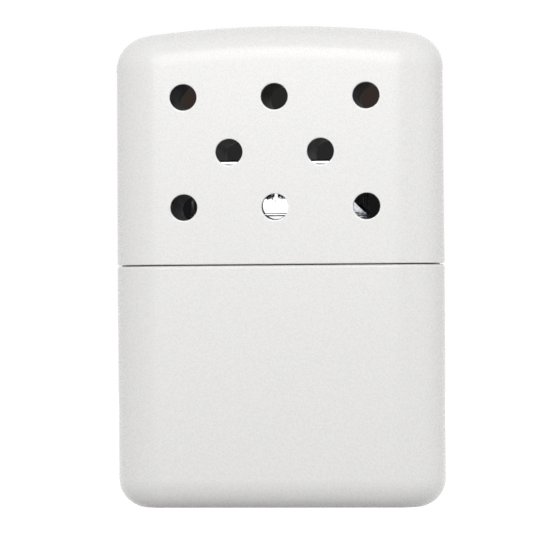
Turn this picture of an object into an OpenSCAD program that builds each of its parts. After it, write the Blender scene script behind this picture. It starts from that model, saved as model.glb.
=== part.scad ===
// Catalytic hand warmer, in millimetres.
// Z is up, the vented front faces -Y, and the origin is the middle of the flat base.
// The lid pulls off upwards, and the burner then pulls off the tank's filler neck.

/* [Casing] */
// Width of the casing, left to right
body_w = 50.5; // [42:0.5:62]
// Depth of the casing, front to back, and so the diameter of its round ends
body_d = 14; // [11.5:0.5:18]
// Height of the tank shell, from the base to its rim
tank_h = 37; // [30:0.1:46]
// Height of the lid, from its rim to the top of its crown
lid_h = 36.5; // [30:0.1:46]
// Sheet thickness of both painted shells
shell_wall = 0.6; // [0.5:0.05:0.8]
// Gap between the lid's rim and the tank's rim
seam_gap = 0.2; // [0.1:0.05:0.4]
// Radius of the rounded edge round the base
base_edge_r = 4.4; // [3:0.1:5]
// Radius of the rounded edge round the crown
crown_edge_r = 5.4; // [4:0.1:5.6]
// Radius of the crown's shallow arch, seen from the front
crown_arch_r = 170; // [150:10:300]

/* [Vents] */
// Diameter of a vent hole
vent_dia = 4; // [3:0.1:5]
// Spacing of the holes along a row
vent_pitch_x = 14; // [11:0.5:15]
// Spacing of the rows
vent_pitch_z = 8.4; // [6:0.1:9]
// Height of the lowest row above the lid's rim
vent_row_z = 8.7; // [6:0.1:10]
// Width of the broken edge round a hole
vent_edge = 0.2; // [0.1:0.05:0.3]

/* [Tank closure] */
// Gap between the guide band and both shells
band_clear = 0.12; // [0.1:0.01:0.2]
// Sheet thickness of the band and the deck
band_wall = 0.4; // [0.3:0.05:0.5]
// How far the deck stands above the tank's rim
deck_rise = 5; // [4:0.5:7]
// How deep the guide band reaches into the tank
band_depth = 6; // [4:0.5:8]
// Radius of the deck's rounded edge
deck_edge_r = 0.6; // [0.5:0.1:0.8]
// How far the four grip dimples stand out of the band
dimple_rise = 0.09; // [0.04:0.01:0.09]
// Distance of the grip dimples from the middle
dimple_x = 13; // [8:0.5:14]
// Height of the bead of sealant under the band
seal_h = 0.9; // [0.6:0.1:1.5]
// Width of that bead
seal_w = 0.5; // [0.4:0.1:0.9]

/* [Filler neck] */
// Width of the burner's case, left to right
burner_w = 27.5; // [22:0.1:32]
// Air gap between the burner's case and the inside of the lid, front and back
burner_air = 1.2; // [1.1:0.1:2.5]
// Sheet thickness of the neck and of the burner's case
neck_wall = 0.4; // [0.3:0.05:0.5]
// Running gap between the neck and the burner's skirt
neck_clear = 0.08; // [0.05:0.01:0.1]
// Height of the neck's shoulder above the deck
shoulder_h = 1; // [0.8:0.1:1.5]
// Height of the neck above its shoulder
neck_h = 3.6; // [2.8:0.1:4.5]
// Width of the flange under the deck, beyond the neck's ends
flange_reach = 1.6; // [1:0.1:3]
// Width of the brazed joint round the neck
braze_w = 0.4; // [0.3:0.1:0.5]
// Height of the brazed joint
braze_h = 0.3; // [0.2:0.1:0.5]

/* [Burner] */
// Height of the burner's case
burner_h = 10; // [9:0.1:12]
// Gap under the burner's skirt
skirt_gap = 0.1; // [0.05:0.05:0.2]
// Height of the grip bead above the skirt's edge
bead_z = 1.8; // [1:0.1:2.4]
// Radius of the grip bead
bead_r = 0.18; // [0.1:0.01:0.25]
// Height of a window
window_h = 4.4; // [3.5:0.1:6]
// Width of the bars between the windows
bar_w = 0.5; // [0.4:0.1:1.2]
// Number of windows on each face
window_count = 4; // [2:1:6]
// Radius of the case's rounded top edge
case_edge_r = 0.6; // [0.5:0.1:1.2]
// Distance from the case's inner faces to the slots in its top
slot_inset = 2; // [1.2:0.1:3]
// Thickness of the ring that holds the screen up
ring_t = 0.45; // [0.3:0.05:0.6]
// Width of that ring
ring_w = 1.5; // [1:0.1:2]
// Thickness of the perforated screen
screen_t = 0.3; // [0.2:0.05:0.5]
// Diameter of a hole in the screen
screen_hole_dia = 1.2; // [0.8:0.1:1.4]
// Spacing of the holes in the screen
screen_pitch = 2; // [1.8:0.1:3]
// Thickness of the wire gauze behind the windows
gauze_t = 0.25; // [0.2:0.05:0.4]
// Width of a gauze wire
gauze_wire = 0.35; // [0.25:0.05:0.5]
// Spacing of the gauze wires
gauze_pitch = 1.5; // [1.2:0.1:2]

/* [Filling] */
// Thickness of the slotted plate that keeps the wadding in
retainer_t = 0.3; // [0.2:0.05:0.5]
// Number of slots in that plate
retainer_slots = 5; // [3:1:7]
// Thickness of the wick felt
felt_t = 1.8; // [1:0.1:3]
// Width of the wick felt
felt_w = 37; // [30:0.5:40]
// Height of the lower wad of cotton
lower_wad_h = 18.6; // [12:0.2:22]
// Gap round the soft pieces
soft_clear = 0.3; // [0.2:0.05:0.5]

/* [Hidden] */
round_fn = 64;
$fn = round_fn;

pearl = [0.88, 0.88, 0.86];
nickel = [0.78, 0.79, 0.80];
dull_steel = [0.55, 0.56, 0.57];
cover = 1;       // how far a cutter runs past what it cuts
touch = 0.02;    // gap between pieces that are fixed to each other
arch_fn = 720;   // facets in a full circle of the crown's shallow arch
crown_lap = 0.05;   // how far outside the walls the crown's rounded edge starts
crown_ledge = 3;    // how far the crown's block stands outside the walls below that edge
crown_skirt = 5;    // how deep the crown's block reaches below that edge
crown_share = 3;    // height of wall that the crown's block and the straight block share

// Casing
shell_in_w = body_w - 2 * shell_wall;
shell_in_d = body_d - 2 * shell_wall;
lid_z = tank_h + seam_gap;

// Guide band and deck
band_w = shell_in_w - 2 * band_clear;
band_d = shell_in_d - 2 * band_clear;
band_in_w = band_w - 2 * band_wall;
band_in_d = band_d - 2 * band_wall;
band_z = tank_h - band_depth;
deck_z = tank_h + deck_rise;
deck_under_z = deck_z - band_wall;
dimple_z = deck_z - deck_rise / 2;
dimple_ball_r = 4;   // radius of the ball that shapes a dimple

// Burner's case and the neck inside it
burner_d = shell_in_d - 2 * burner_air;
case_in_w = burner_w - 2 * neck_wall;
case_in_d = burner_d - 2 * neck_wall;
neck_w = case_in_w - 2 * neck_clear;
neck_d = case_in_d - 2 * neck_clear;
boss_w = burner_w;
boss_d = burner_d;
shoulder_z = deck_z + shoulder_h;
neck_top_z = shoulder_z + neck_h;
flange_t = neck_wall;
flange_w = boss_w + 2 * flange_reach;
flange_d = band_in_d - 2 * (deck_edge_r - band_wall + touch);
flange_z = deck_under_z - touch - flange_t;

burner_z = shoulder_z + skirt_gap;
burner_top_z = burner_z + burner_h;
ring_z = neck_top_z + skirt_gap;
screen_z = ring_z + ring_t + touch;
window_z = screen_z - touch;
window_span = case_in_w - case_in_d;
window_w = (window_span - (window_count - 1) * bar_w) / window_count;
gauze_z = screen_z + screen_t + touch;
gauze_h = burner_top_z - case_edge_r - touch - gauze_z;
gauze_y = case_in_d / 2 - touch - gauze_t;
mat_w = case_in_w - 2 * soft_clear;
mat_d = 2 * (gauze_y - touch * 2);
mat_z = gauze_z;
mat_h = gauze_h - soft_clear;

// Filling
retainer_z = flange_z - touch - retainer_t;
slot_share = 0.6;   // share of the retainer's slot spacing that is open
felt_z = retainer_z - touch - felt_t;
felt_d = band_in_d - 2 * soft_clear;
seal_z = band_z - touch - seal_h;
lower_wad_z = shell_wall + soft_clear;
upper_wad_z = lower_wad_z + lower_wad_h + soft_clear;
upper_wad_h = felt_z - touch - upper_wad_z;
upper_wad_w = band_in_w - 2 * (soft_clear + seal_w);
upper_wad_d = band_in_d - 2 * soft_clear;

// A flat outline with two straight sides and two round ends
module stadium(w, d) {
    square([w - d, d], center = true);
    for (side = [-1, 1])
        translate([side * (w - d) / 2, 0])
            circle(d = d);
}

// A straight-walled block of that outline, from z upwards
module stadium_block(w, d, h, z = 0) {
    translate([0, 0, z])
        linear_extrude(h)
            stadium(w, d);
}

// A ring of that outline
module stadium_ring(w, d, wall, h, z) {
    translate([0, 0, z])
        linear_extrude(h)
            difference() {
                stadium(w, d);
                stadium(w - 2 * wall, d - 2 * wall);
            }
}

// Half the section of a block whose lower edge is rounded
module rounded_half(half, h, r) {
    difference() {
        square([half, h]);
        translate([half - r, 0])
            difference() {
                square(r);
                translate([0, r])
                    circle(r);
            }
    }
}

// A block of the stadium outline, its lower edge rounded
module tub_block(w, d, h, r) {
    straight = w - d;
    rotate([90, 0, 90])
        linear_extrude(straight, center = true)
            union() {
                rounded_half(d / 2, h, r);
                mirror([1, 0])
                    rounded_half(d / 2, h, r);
            }
    for (side = [0, 180])
        rotate([0, 0, side])
            translate([straight / 2, 0, 0])
                rotate([0, 0, -90])
                    rotate_extrude(angle = 180)
                        rounded_half(d / 2, h, r);
}

// The same block turned over, so that its upper edge is rounded
module cap_block(w, d, h, r, z) {
    translate([0, 0, z + h])
        mirror([0, 0, 1])
            tub_block(w, d, h, r);
}

// Half the section of the crown: rounded at the top and open below.
// The ledge leaves the walls to the straight block that it is cut with.
module crown_half(half, arch, depth, r) {
    translate([0, arch - depth])
        square([half + crown_ledge, depth - r]);
    translate([0, arch - r])
        difference() {
            square([half, r]);
            translate([half - r, 0])
                difference() {
                    square(r + cover);
                    circle(r);
                }
        }
}

// The arched crown, centred on X and Y, its middle at height h
module crown(w, d, h, r, arch) {
    half = d / 2 + crown_lap;
    depth = r + crown_skirt;
    tilt = asin((w - d) / 2 / (arch - r));
    translate([0, 0, h - arch]) {
        rotate([90, 0, 0])
            rotate([0, 0, 90 - tilt])
                rotate_extrude(angle = 2 * tilt, $fn = arch_fn)
                    rotate(-90)
                        union() {
                            crown_half(half, arch, depth, r, $fn = round_fn);
                            mirror([1, 0])
                                crown_half(half, arch, depth, r, $fn = round_fn);
                        }
        for (side = [-1, 1])
            rotate([0, side * tilt, 0])
                rotate([0, 0, -90 * side])
                    rotate_extrude(angle = 180)
                        crown_half(half, arch, depth, r);
    }
}

// A block with straight walls and an arched, rounded crown
module lid_block(w, d, h, r, arch) {
    straight_h = h - r - crown_share;
    stadium_block(w, d, straight_h);
    intersection() {
        stadium_block(w, d, h - straight_h + cover, straight_h);
        crown(w, d, h, r, arch);
    }
}

// One vent: a hole through both walls, its outer edges broken
module vent() {
    rotate([90, 0, 0])
        cylinder(d = vent_dia, h = body_d + 2 * cover, center = true);
    for (turn = [0, 180])
        rotate([0, 0, turn])
            translate([0, -body_d / 2, 0])
                rotate([-90, 0, 0])
                    translate([0, 0, -vent_edge])
                        cylinder(
                            r1 = vent_dia / 2 + 2 * vent_edge,
                            r2 = vent_dia / 2,
                            h = 2 * vent_edge
                        );
}

// Three rows of vents: three holes, two between them, three again
module vents() {
    for (row = [0:2])
        for (column = [0:(row == 1 ? 1 : 2)])
            translate([
                (column - (row == 1 ? 0.5 : 1)) * vent_pitch_x,
                0,
                lid_z + vent_row_z + row * vent_pitch_z
            ])
                vent();
}

module tank_shell() {
    color(pearl)
        difference() {
            tub_block(body_w, body_d, tank_h, base_edge_r);
            translate([0, 0, shell_wall])
                tub_block(shell_in_w, shell_in_d, tank_h, base_edge_r - shell_wall);
        }
}

module lid_shell() {
    color(pearl)
        difference() {
            translate([0, 0, lid_z])
                lid_block(body_w, body_d, lid_h, crown_edge_r, crown_arch_r);
            translate([0, 0, lid_z])
                lid_block(
                    shell_in_w, shell_in_d, lid_h - shell_wall,
                    crown_edge_r - shell_wall, crown_arch_r - shell_wall
                );
            stadium_block(shell_in_w, shell_in_d, 2 * cover, lid_z - cover);
            vents();
        }
}

// A shallow round dimple pressed out of the band's flat side
module grip_dimple() {
    root = band_wall / 2;
    intersection() {
        translate([0, -band_d / 2 - dimple_rise + dimple_ball_r, 0])
            sphere(r = dimple_ball_r);
        translate([-dimple_ball_r, -band_d / 2 - cover, -dimple_ball_r])
            cube([2 * dimple_ball_r, cover + root, 2 * dimple_ball_r]);
    }
}

module tank_cap() {
    color(nickel) {
        difference() {
            cap_block(band_w, band_d, deck_z - band_z, deck_edge_r, band_z);
            cap_block(
                band_in_w, band_in_d, deck_under_z - band_z + cover,
                deck_edge_r - band_wall, band_z - cover
            );
            stadium_block(boss_w + 2 * touch, boss_d + 2 * touch, 2 * cover, deck_z - cover);
        }
        for (turn = [0, 180])
            for (side = [-1, 1])
                rotate([0, 0, turn])
                    translate([side * dimple_x, 0, dimple_z])
                        grip_dimple();
    }
}

module cap_seal() {
    color("dimgray")
        stadium_ring(shell_in_w - 2 * touch, shell_in_d - 2 * touch, seal_w, seal_h, seal_z);
}

module filler_neck() {
    color(nickel)
        difference() {
            union() {
                stadium_block(flange_w, flange_d, flange_t, flange_z);
                stadium_block(boss_w, boss_d, shoulder_z - flange_z, flange_z);
                stadium_block(neck_w, neck_d, neck_top_z - flange_z, flange_z);
            }
            stadium_block(
                boss_w - 2 * neck_wall, boss_d - 2 * neck_wall,
                shoulder_z - neck_wall - flange_z + cover, flange_z - cover
            );
            stadium_block(
                neck_w - 2 * neck_wall, neck_d - 2 * neck_wall,
                neck_top_z - flange_z + 2 * cover, flange_z - cover
            );
        }
}

module neck_braze() {
    color("goldenrod")
        stadium_ring(
            boss_w + 2 * (touch + braze_w), boss_d + 2 * (touch + braze_w),
            braze_w, braze_h, deck_z + touch
        );
}

module wadding_retainer() {
    slot_pitch = neck_w / (retainer_slots + slot_share);
    slot_w = slot_pitch * slot_share;
    slot_l = neck_d - 4 * neck_wall;
    color(dull_steel)
        translate([0, 0, retainer_z])
            linear_extrude(retainer_t)
                difference() {
                    stadium(flange_w, flange_d);
                    for (i = [0:retainer_slots - 1])
                        translate([(i - (retainer_slots - 1) / 2) * slot_pitch, 0])
                            square([slot_w, slot_l], center = true);
                }
}

module wick_felt() {
    color("ivory")
        stadium_block(felt_w, felt_d, felt_t, felt_z);
}

module wadding_upper() {
    color("white")
        stadium_block(upper_wad_w, upper_wad_d, upper_wad_h, upper_wad_z);
}

module wadding_lower() {
    color("white")
        translate([0, 0, lower_wad_z])
            tub_block(
                shell_in_w - 2 * soft_clear, shell_in_d - 2 * soft_clear,
                lower_wad_h, base_edge_r - shell_wall - soft_clear
            );
}

// The windows of the burner's case, through its front and back, and the slots in its top
module case_windows() {
    slot_d = case_in_d - 2 * slot_inset;
    for (i = [0:window_count - 1])
        translate([(i - (window_count - 1) / 2) * (window_w + bar_w), 0, 0]) {
            translate([-window_w / 2, -body_d / 2, window_z])
                cube([window_w, body_d, window_h]);
            translate([-window_w / 2, -slot_d / 2, burner_top_z - 2 * neck_wall])
                cube([window_w, slot_d, 3 * neck_wall]);
        }
}

// The raised bead that stiffens the burner's skirt
module skirt_bead() {
    straight = burner_w - burner_d;
    translate([0, 0, burner_z + bead_z]) {
        for (side = [-1, 1])
            translate([0, side * burner_d / 2, 0])
                rotate([0, 90, 0])
                    cylinder(r = bead_r, h = straight, center = true);
        for (side = [0, 180])
            rotate([0, 0, side])
                translate([straight / 2, 0, 0])
                    rotate([0, 0, -90])
                        rotate_extrude(angle = 180)
                            translate([burner_d / 2, 0])
                                circle(bead_r);
    }
}

module burner_case() {
    color(nickel)
        difference() {
            union() {
                cap_block(burner_w, burner_d, burner_h, case_edge_r, burner_z);
                skirt_bead();
            }
            cap_block(
                case_in_w, case_in_d, burner_h - neck_wall + cover,
                case_edge_r - neck_wall, burner_z - cover
            );
            case_windows();
        }
}

// Crossing wires that fill a window's whole span
module gauze() {
    across = floor(window_span / gauze_pitch);
    up = floor((gauze_h - gauze_wire) / gauze_pitch);
    translate([0, -gauze_y - gauze_t, gauze_z]) {
        for (i = [0:across])
            translate([(i - across / 2) * gauze_pitch - gauze_wire / 2, 0, 0])
                cube([gauze_wire, gauze_t, gauze_h]);
        for (j = [0:up])
            translate([-window_span / 2, 0, j * (gauze_h - gauze_wire) / up])
                cube([window_span, gauze_t, gauze_wire]);
    }
}

module front_gauze() {
    color(dull_steel)
        gauze();
}

module rear_gauze() {
    color(dull_steel)
        rotate([0, 0, 180])
            gauze();
}

module catalyst_mat() {
    color("lightgray")
        stadium_block(mat_w, mat_d, mat_h, mat_z);
}

module lower_screen() {
    columns = floor(window_span / 2 / screen_pitch);
    row_y = case_in_d / 2 - ring_w - screen_hole_dia / 2;
    color(dull_steel)
        translate([0, 0, screen_z])
            linear_extrude(screen_t)
                difference() {
                    stadium(case_in_w - 2 * touch, case_in_d - 2 * touch);
                    for (i = [-columns:columns])
                        for (row = [-1:1])
                            translate([i * screen_pitch, row * row_y])
                                circle(d = screen_hole_dia);
                }
}

module retaining_ring() {
    color(dull_steel)
        stadium_ring(case_in_w - 2 * touch, case_in_d - 2 * touch, ring_w, ring_t, ring_z);
}

tank_shell();
tank_cap();
cap_seal();
filler_neck();
neck_braze();
wadding_retainer();
wick_felt();
wadding_upper();
wadding_lower();
lid_shell();
burner_case();
front_gauze();
rear_gauze();
catalyst_mat();
lower_screen();
retaining_ring();
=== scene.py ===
# %% [markdown]
# # A pocket hand warmer, built round its CAD frame
#
# The warmer is a slim tank with a lid of the same outline. The lid pulls off
# upwards, and under it a small plated burner sits on the tank's filler neck.
# The CAD model gives every piece its size and place. This file gives the
# pieces their looks, in metres, in the same frame: X to the right, Y to the
# back, Z up, and the vented front facing -Y.

import math
import random

import bmesh
import bpy
from mathutils import Matrix, Quaternion, Vector, noise


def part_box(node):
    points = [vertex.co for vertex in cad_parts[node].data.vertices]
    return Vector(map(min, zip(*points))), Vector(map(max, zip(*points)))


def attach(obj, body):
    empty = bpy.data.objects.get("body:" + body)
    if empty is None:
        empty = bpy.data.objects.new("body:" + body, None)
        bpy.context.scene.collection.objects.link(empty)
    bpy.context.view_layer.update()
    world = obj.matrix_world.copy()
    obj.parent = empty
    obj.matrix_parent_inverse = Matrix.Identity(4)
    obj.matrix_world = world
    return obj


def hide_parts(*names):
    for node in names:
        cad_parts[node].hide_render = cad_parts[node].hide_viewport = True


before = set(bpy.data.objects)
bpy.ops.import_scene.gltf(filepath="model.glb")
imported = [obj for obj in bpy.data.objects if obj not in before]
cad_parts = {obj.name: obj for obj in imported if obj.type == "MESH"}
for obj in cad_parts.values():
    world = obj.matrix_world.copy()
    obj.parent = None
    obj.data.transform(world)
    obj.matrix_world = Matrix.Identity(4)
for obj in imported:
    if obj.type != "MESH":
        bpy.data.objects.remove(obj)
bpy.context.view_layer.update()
MM = 0.001

# %% [markdown]
# ## Camera
#
# A small object is photographed from some way off with a long lens, so that
# its sides look straight. The camera stands 600 mm away, a little to the
# right of the middle and a touch below the seam. The picture is cropped off
# centre, which the lens shift repeats.

# %% Place the camera
PICTURE = 533
DISTANCE = 600
LENS = 263.6
SHIFT = (-14.08, -0.95)
azimuth = math.radians(6.59)
elevation = math.radians(-0.38)
roll = math.radians(0.417)
aim = Vector((0, 0, 37 * MM))


def towards(azimuth, elevation):
    """The direction from the object to this azimuth and elevation, in radians."""
    return Vector((
        math.sin(azimuth) * math.cos(elevation),
        -math.cos(azimuth) * math.cos(elevation),
        math.sin(elevation),
    ))


back = towards(azimuth, elevation)
camera = bpy.data.objects.new("camera", bpy.data.cameras.new("camera"))
bpy.context.scene.collection.objects.link(camera)
camera.location = aim + back * DISTANCE * MM
turn = (-back).to_track_quat("-Z", "Y") @ Quaternion((0, 0, 1), -roll)
camera.rotation_euler = turn.to_euler()
camera.data.sensor_width = 36
camera.data.lens = LENS
camera.data.shift_x = SHIFT[0] / PICTURE
camera.data.shift_y = SHIFT[1] / PICTURE
camera.data.clip_start = 0.01
bpy.context.scene.camera = camera
print("camera at, mm:", [round(x / MM, 1) for x in camera.location])

# %% [markdown]
# ## Nodes
#
# Every material here is a small tree of shader nodes. Writing one line per
# node keeps a tree readable, so one helper adds a node, sets what it is told
# and joins it to what feeds it. The others are short names for the few sums
# that come back all the time.

# %% Helpers that add nodes
def add(tree, kind, *feeds, **settings):
    """Adds a shader node. Each feed is a socket's name or number and its value or source."""
    node = tree.nodes.new("ShaderNode" + kind)
    for key, value in settings.items():
        setattr(node, key, value)
    for socket, value in feeds:
        if isinstance(value, bpy.types.NodeSocket):
            tree.links.new(value, node.inputs[socket])
        else:
            node.inputs[socket].default_value = value
    return node


def calculate(tree, value, *steps):
    """Sends a value through sums: each step is an operation and its second number or source."""
    for operation, *second in steps:
        value = add(
            tree, "Math", (0, value), *((1, n) for n in second), operation=operation).outputs[0]
    return value


def between(tree, value, off, on):
    """0 at off and 1 at on, with a soft step."""
    return add(
        tree, "MapRange", ("Value", value), ("From Min", off), ("From Max", on),
        interpolation_type="SMOOTHSTEP").outputs["Result"]


def ramp(tree, value, off, on, top=1.0):
    """0 at off, rising evenly to top at on."""
    return add(
        tree, "MapRange", ("Value", value), ("From Min", off), ("From Max", on),
        ("To Max", top)).outputs["Result"]


def level(tree, value, low, high):
    """Stretches a value of 0 to 1 over low to high."""
    return add(
        tree, "MapRange", ("Value", value), ("To Min", low), ("To Max", high)).outputs["Result"]


def seen_by_lens_or_mirror(tree):
    """1 for rays that come from the camera, a reflection or glass, and 0 for light that falls."""
    ray = add(tree, "LightPath").outputs
    return calculate(
        tree, ray["Is Camera Ray"], ("MAXIMUM", ray["Is Glossy Ray"]),
        ("MAXIMUM", ray["Is Transmission Ray"]))


# %% [markdown]
# ## Light
#
# White enamel shows its shape only by slow changes of grey, so the light is
# soft. One box in front and above gives the bright band on the crown's
# rounded edge. A small faint one stands level with the vents: it lights
# little, but the burner mirrors it, so that its face shows white through
# them. Two wide fills light the round ends, the right one a little more, and
# another keeps the back from going dark. The world is white where the lens
# or a mirror sees it, and grey where it lights the object.

# %% Light the studio
SKY_LIGHT = 0.38
scene = bpy.context.scene
scene.view_settings.view_transform = "Standard"
scene.world = bpy.data.worlds.new("studio")
scene.world.use_nodes = True
tree = scene.world.node_tree
background = tree.nodes["Background"]
background.inputs["Color"].default_value = (1, 1, 1, 1)
brightness = level(tree, seen_by_lens_or_mirror(tree), SKY_LIGHT, 1.0)
tree.links.new(brightness, background.inputs["Strength"])


def soft_box(name, azimuth, elevation, distance, size, watts, mirrored=False):
    """An area lamp that faces the object from this direction, in degrees and metres."""
    place = aim + distance * towards(math.radians(azimuth), math.radians(elevation))
    lamp = bpy.data.lights.new(name, "AREA")
    lamp.shape = "RECTANGLE"
    lamp.size, lamp.size_y = size
    lamp.energy = watts
    thing = bpy.data.objects.new(name, lamp)
    scene.collection.objects.link(thing)
    thing.location = place
    thing.rotation_euler = (aim - place).to_track_quat("-Z", "Y").to_euler()
    thing.visible_glossy = mirrored


soft_box("key", -2, 28, 0.34, (0.17, 0.25), 0.525, mirrored=True)
soft_box("glint", -7, 2, 0.60, (0.12, 0.12), 0.072, mirrored=True)
soft_box("left_fill", -80, 6, 0.60, (0.70, 0.70), 1.05)
soft_box("right_fill", 76, 6, 0.60, (0.70, 0.70), 1.80)
soft_box("back_fill", 180, 25, 0.60, (0.60, 0.60), 1.6)

# %% [markdown]
# ## Floor
#
# The warmer stands on a white sheet, and the white world begins where the
# sheet ends. The lens sees the sheet as white; only the object's shadow
# makes it darker.

# %% Lay the floor
FLOOR_SIZE = 8
FLOOR_ALBEDO = 0.50
FLOOR_GLOW = 0.84
bpy.ops.object.select_all(action="DESELECT")
bpy.ops.mesh.primitive_plane_add(size=FLOOR_SIZE, location=(0, 0, 0))
floor = bpy.context.active_object
floor.name = "floor"
sheet = bpy.data.materials.new("white_sheet")
sheet.use_nodes = True
tree = sheet.node_tree
tree.nodes.clear()
matt = add(tree, "BsdfDiffuse", ("Color", (FLOOR_ALBEDO, FLOOR_ALBEDO, FLOOR_ALBEDO, 1)))
glow_level = calculate(tree, seen_by_lens_or_mirror(tree), ("MULTIPLY", FLOOR_GLOW))
glow = add(tree, "Emission", ("Strength", glow_level))
both = add(tree, "AddShader", (0, matt.outputs[0]), (1, glow.outputs[0]))
add(tree, "OutputMaterial", ("Surface", both.outputs[0]))
floor.data.materials.append(sheet)

# %% [markdown]
# ## Shared surface effects
#
# Four effects come back in many finishes: a fine grain, long scratches, soft
# smudges of uneven gloss, and a tangle of fibres. Each is a node group with
# its own inputs, built once. A group puts out only a value between 0 and 1
# that changes over the surface, and each material decides what it drives.

# %% Helpers for the node groups
def new_effect(name, **inputs):
    """A shader node group with these number inputs and one output called Value."""
    group = bpy.data.node_groups.new(name, "ShaderNodeTree")
    for label, value in inputs.items():
        socket = group.interface.new_socket(
            name=label, in_out="INPUT", socket_type="NodeSocketFloat")
        socket.default_value = value
    group.interface.new_socket(name="Value", in_out="OUTPUT", socket_type="NodeSocketFloat")
    start = group.nodes.new("NodeGroupInput")
    end = group.nodes.new("NodeGroupOutput")
    return group, start.outputs, end.inputs["Value"]


def place_of(tree):
    """The position on the piece, in metres, in the object's own frame."""
    return add(tree, "TexCoord").outputs["Object"]


def cloud(tree, place, scale, **inputs):
    """A noise texture at this place and scale, with its other inputs by name."""
    return add(tree, "TexNoise", ("Vector", place), ("Scale", scale), *inputs.items()).outputs[0]


def turned(tree, **inputs):
    """The position on the piece after a Mapping node."""
    return add(tree, "Mapping", ("Vector", place_of(tree)), *inputs.items()).outputs[0]


def spread(group, values, low, high, out):
    """Stretches the highest of the values from low to high, and sends it out of the group."""
    highest = calculate(group, values[0], *(("MAXIMUM", value) for value in values[1:]))
    group.links.new(between(group, highest, low, high), out)


# %% [markdown]
# Grain and smudges are one noise each. A scratch is a noise drawn out
# along one direction until only threads are left, and three directions lie
# over each other. Fibres are a noise that is squeezed and curled.

# %% Build the node groups
grain, given, out = new_effect("fine_grain", Scale=4000.0)
speck = cloud(grain, place_of(grain), given["Scale"], Detail=3.0, Roughness=0.65)
spread(grain, [speck], 0.30, 0.70, out)

smudge, given, out = new_effect("smudges", Scale=150.0)
blot = cloud(
    smudge, place_of(smudge), given["Scale"], Detail=4.0, Roughness=0.55, Distortion=0.8)
spread(smudge, [blot], 0.35, 0.72, out)

scratch, given, out = new_effect("scratches", Spacing=2500.0, Length=60.0)
threads = []
for lean in (0.0, 0.35, -1.1):
    across = add(
        scratch, "CombineXYZ", ("X", given["Spacing"]), ("Y", given["Spacing"]),
        ("Z", given["Length"]))
    drawn = add(
        scratch, "VectorMath", (0, turned(scratch, Rotation=(0, lean, 0))),
        (1, across.outputs[0]), operation="MULTIPLY")
    thread = cloud(scratch, drawn.outputs[0], 1.0, Detail=2.0)
    threads.append(ramp(scratch, thread, 0.62, 0.74))
spread(scratch, threads, 0.0, 1.0, out)

tangle, given, out = new_effect("fibre_tangle", Scale=2500.0, Curl=1.5)
strands = []
for lean in ((0, 0, 0), (0.9, 0.4, 0.2), (-0.5, 1.2, 0.7)):
    squeezed = turned(tangle, Rotation=lean, Scale=(1.0, 0.22, 1.0))
    strands.append(
        cloud(tangle, squeezed, given["Scale"], Detail=3.0, Distortion=given["Curl"]))
spread(tangle, strands, 0.45, 0.75, out)
print("effects:", [group.name for group in (grain, smudge, scratch, tangle)])

# %% [markdown]
# ## Finishes
#
# Each finish is one Principled BSDF. What is the same all over the surface
# is set on the shader itself, and what drifts over it is driven by an
# effect: the colour between two colours, the roughness between two levels,
# and the normal by bumps laid over each other.

# %% Helpers for finishes
# A Mix node lists its sockets for numbers first, then those for colours.
MIX_FACTOR, MIX_A, MIX_B, MIX_RESULT = 0, 6, 7, 2


def set_levels(shader, **levels):
    """Sets the shader's own sockets. An underscore stands for a space in a socket's name."""
    for label, value in levels.items():
        shader.inputs[label.replace("_", " ")].default_value = value


def inside(made):
    """A material's tree and its shader."""
    return made.node_tree, made.node_tree.nodes["Principled BSDF"]


def new_finish(name, colour, metallic, roughness):
    """A material with one Principled BSDF at these plain levels, its tree and its shader."""
    made = bpy.data.materials.new(name)
    made.use_nodes = True
    tree, shader = inside(made)
    set_levels(shader, Base_Color=(*colour, 1), Metallic=metallic, Roughness=roughness)
    return made, tree, shader


def effect(tree, group, **values):
    """Places a shared effect in a material, with its own values, and returns its output."""
    node = tree.nodes.new("ShaderNodeGroup")
    node.node_tree = group
    for label, value in values.items():
        node.inputs[label].default_value = value
    return node.outputs["Value"]


def mixed(tree, value, first, second):
    """A colour that goes from the first to the second as the value goes from 0 to 1."""
    return add(
        tree, "Mix", (MIX_FACTOR, value), (MIX_A, first), (MIX_B, second),
        data_type="RGBA").outputs[MIX_RESULT]


def vary_colour(tree, shader, value, dark, light):
    """Lets a value move the base colour between two colours."""
    tree.links.new(mixed(tree, value, (*dark, 1), (*light, 1)), shader.inputs["Base Color"])


def vary_roughness(tree, shader, value, low, high):
    """Lets a value move the roughness between two levels."""
    tree.links.new(level(tree, value, low, high), shader.inputs["Roughness"])


def emboss(tree, shader, *layers):
    """Stacks bumps on the normal. Each layer is a value and its height in metres."""
    for value, height in layers:
        under = [("Normal", link.from_socket) for link in shader.inputs["Normal"].links]
        bump = add(tree, "Bump", ("Height", value), ("Distance", height), *under)
        tree.links.new(bump.outputs["Normal"], shader.inputs["Normal"])


# %% [markdown]
# ### Pearl enamel
#
# The shells are sprayed with white pearl enamel: fine mica flakes in a clear
# coat. Up close it is a fine, even sparkle under a satin gloss. The flakes
# are a grain of a fifth of a millimetre that shifts the white a little and
# tips the surface. The clear coat is faintly warm, which shows only where
# the light passes through it at a slant, near the round ends.

# %% Mix the pearl enamel
pearl, tree, shader = new_finish("pearl_enamel", (0.86, 0.86, 0.85), 0.0, 0.28)
flakes = effect(tree, grain, Scale=3600.0)
orange_peel = effect(tree, smudge, Scale=900.0)
vary_colour(tree, shader, flakes, (0.835, 0.835, 0.828), (0.885, 0.885, 0.88))
vary_roughness(tree, shader, flakes, 0.24, 0.32)
emboss(tree, shader, (orange_peel, 0.002 * MM), (flakes, 0.0012 * MM))
set_levels(
    shader, Specular_IOR_Level=0.4, Coat_Weight=0.30, Coat_Roughness=0.22,
    Coat_Tint=(1.0, 0.985, 0.955, 1))
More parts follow.
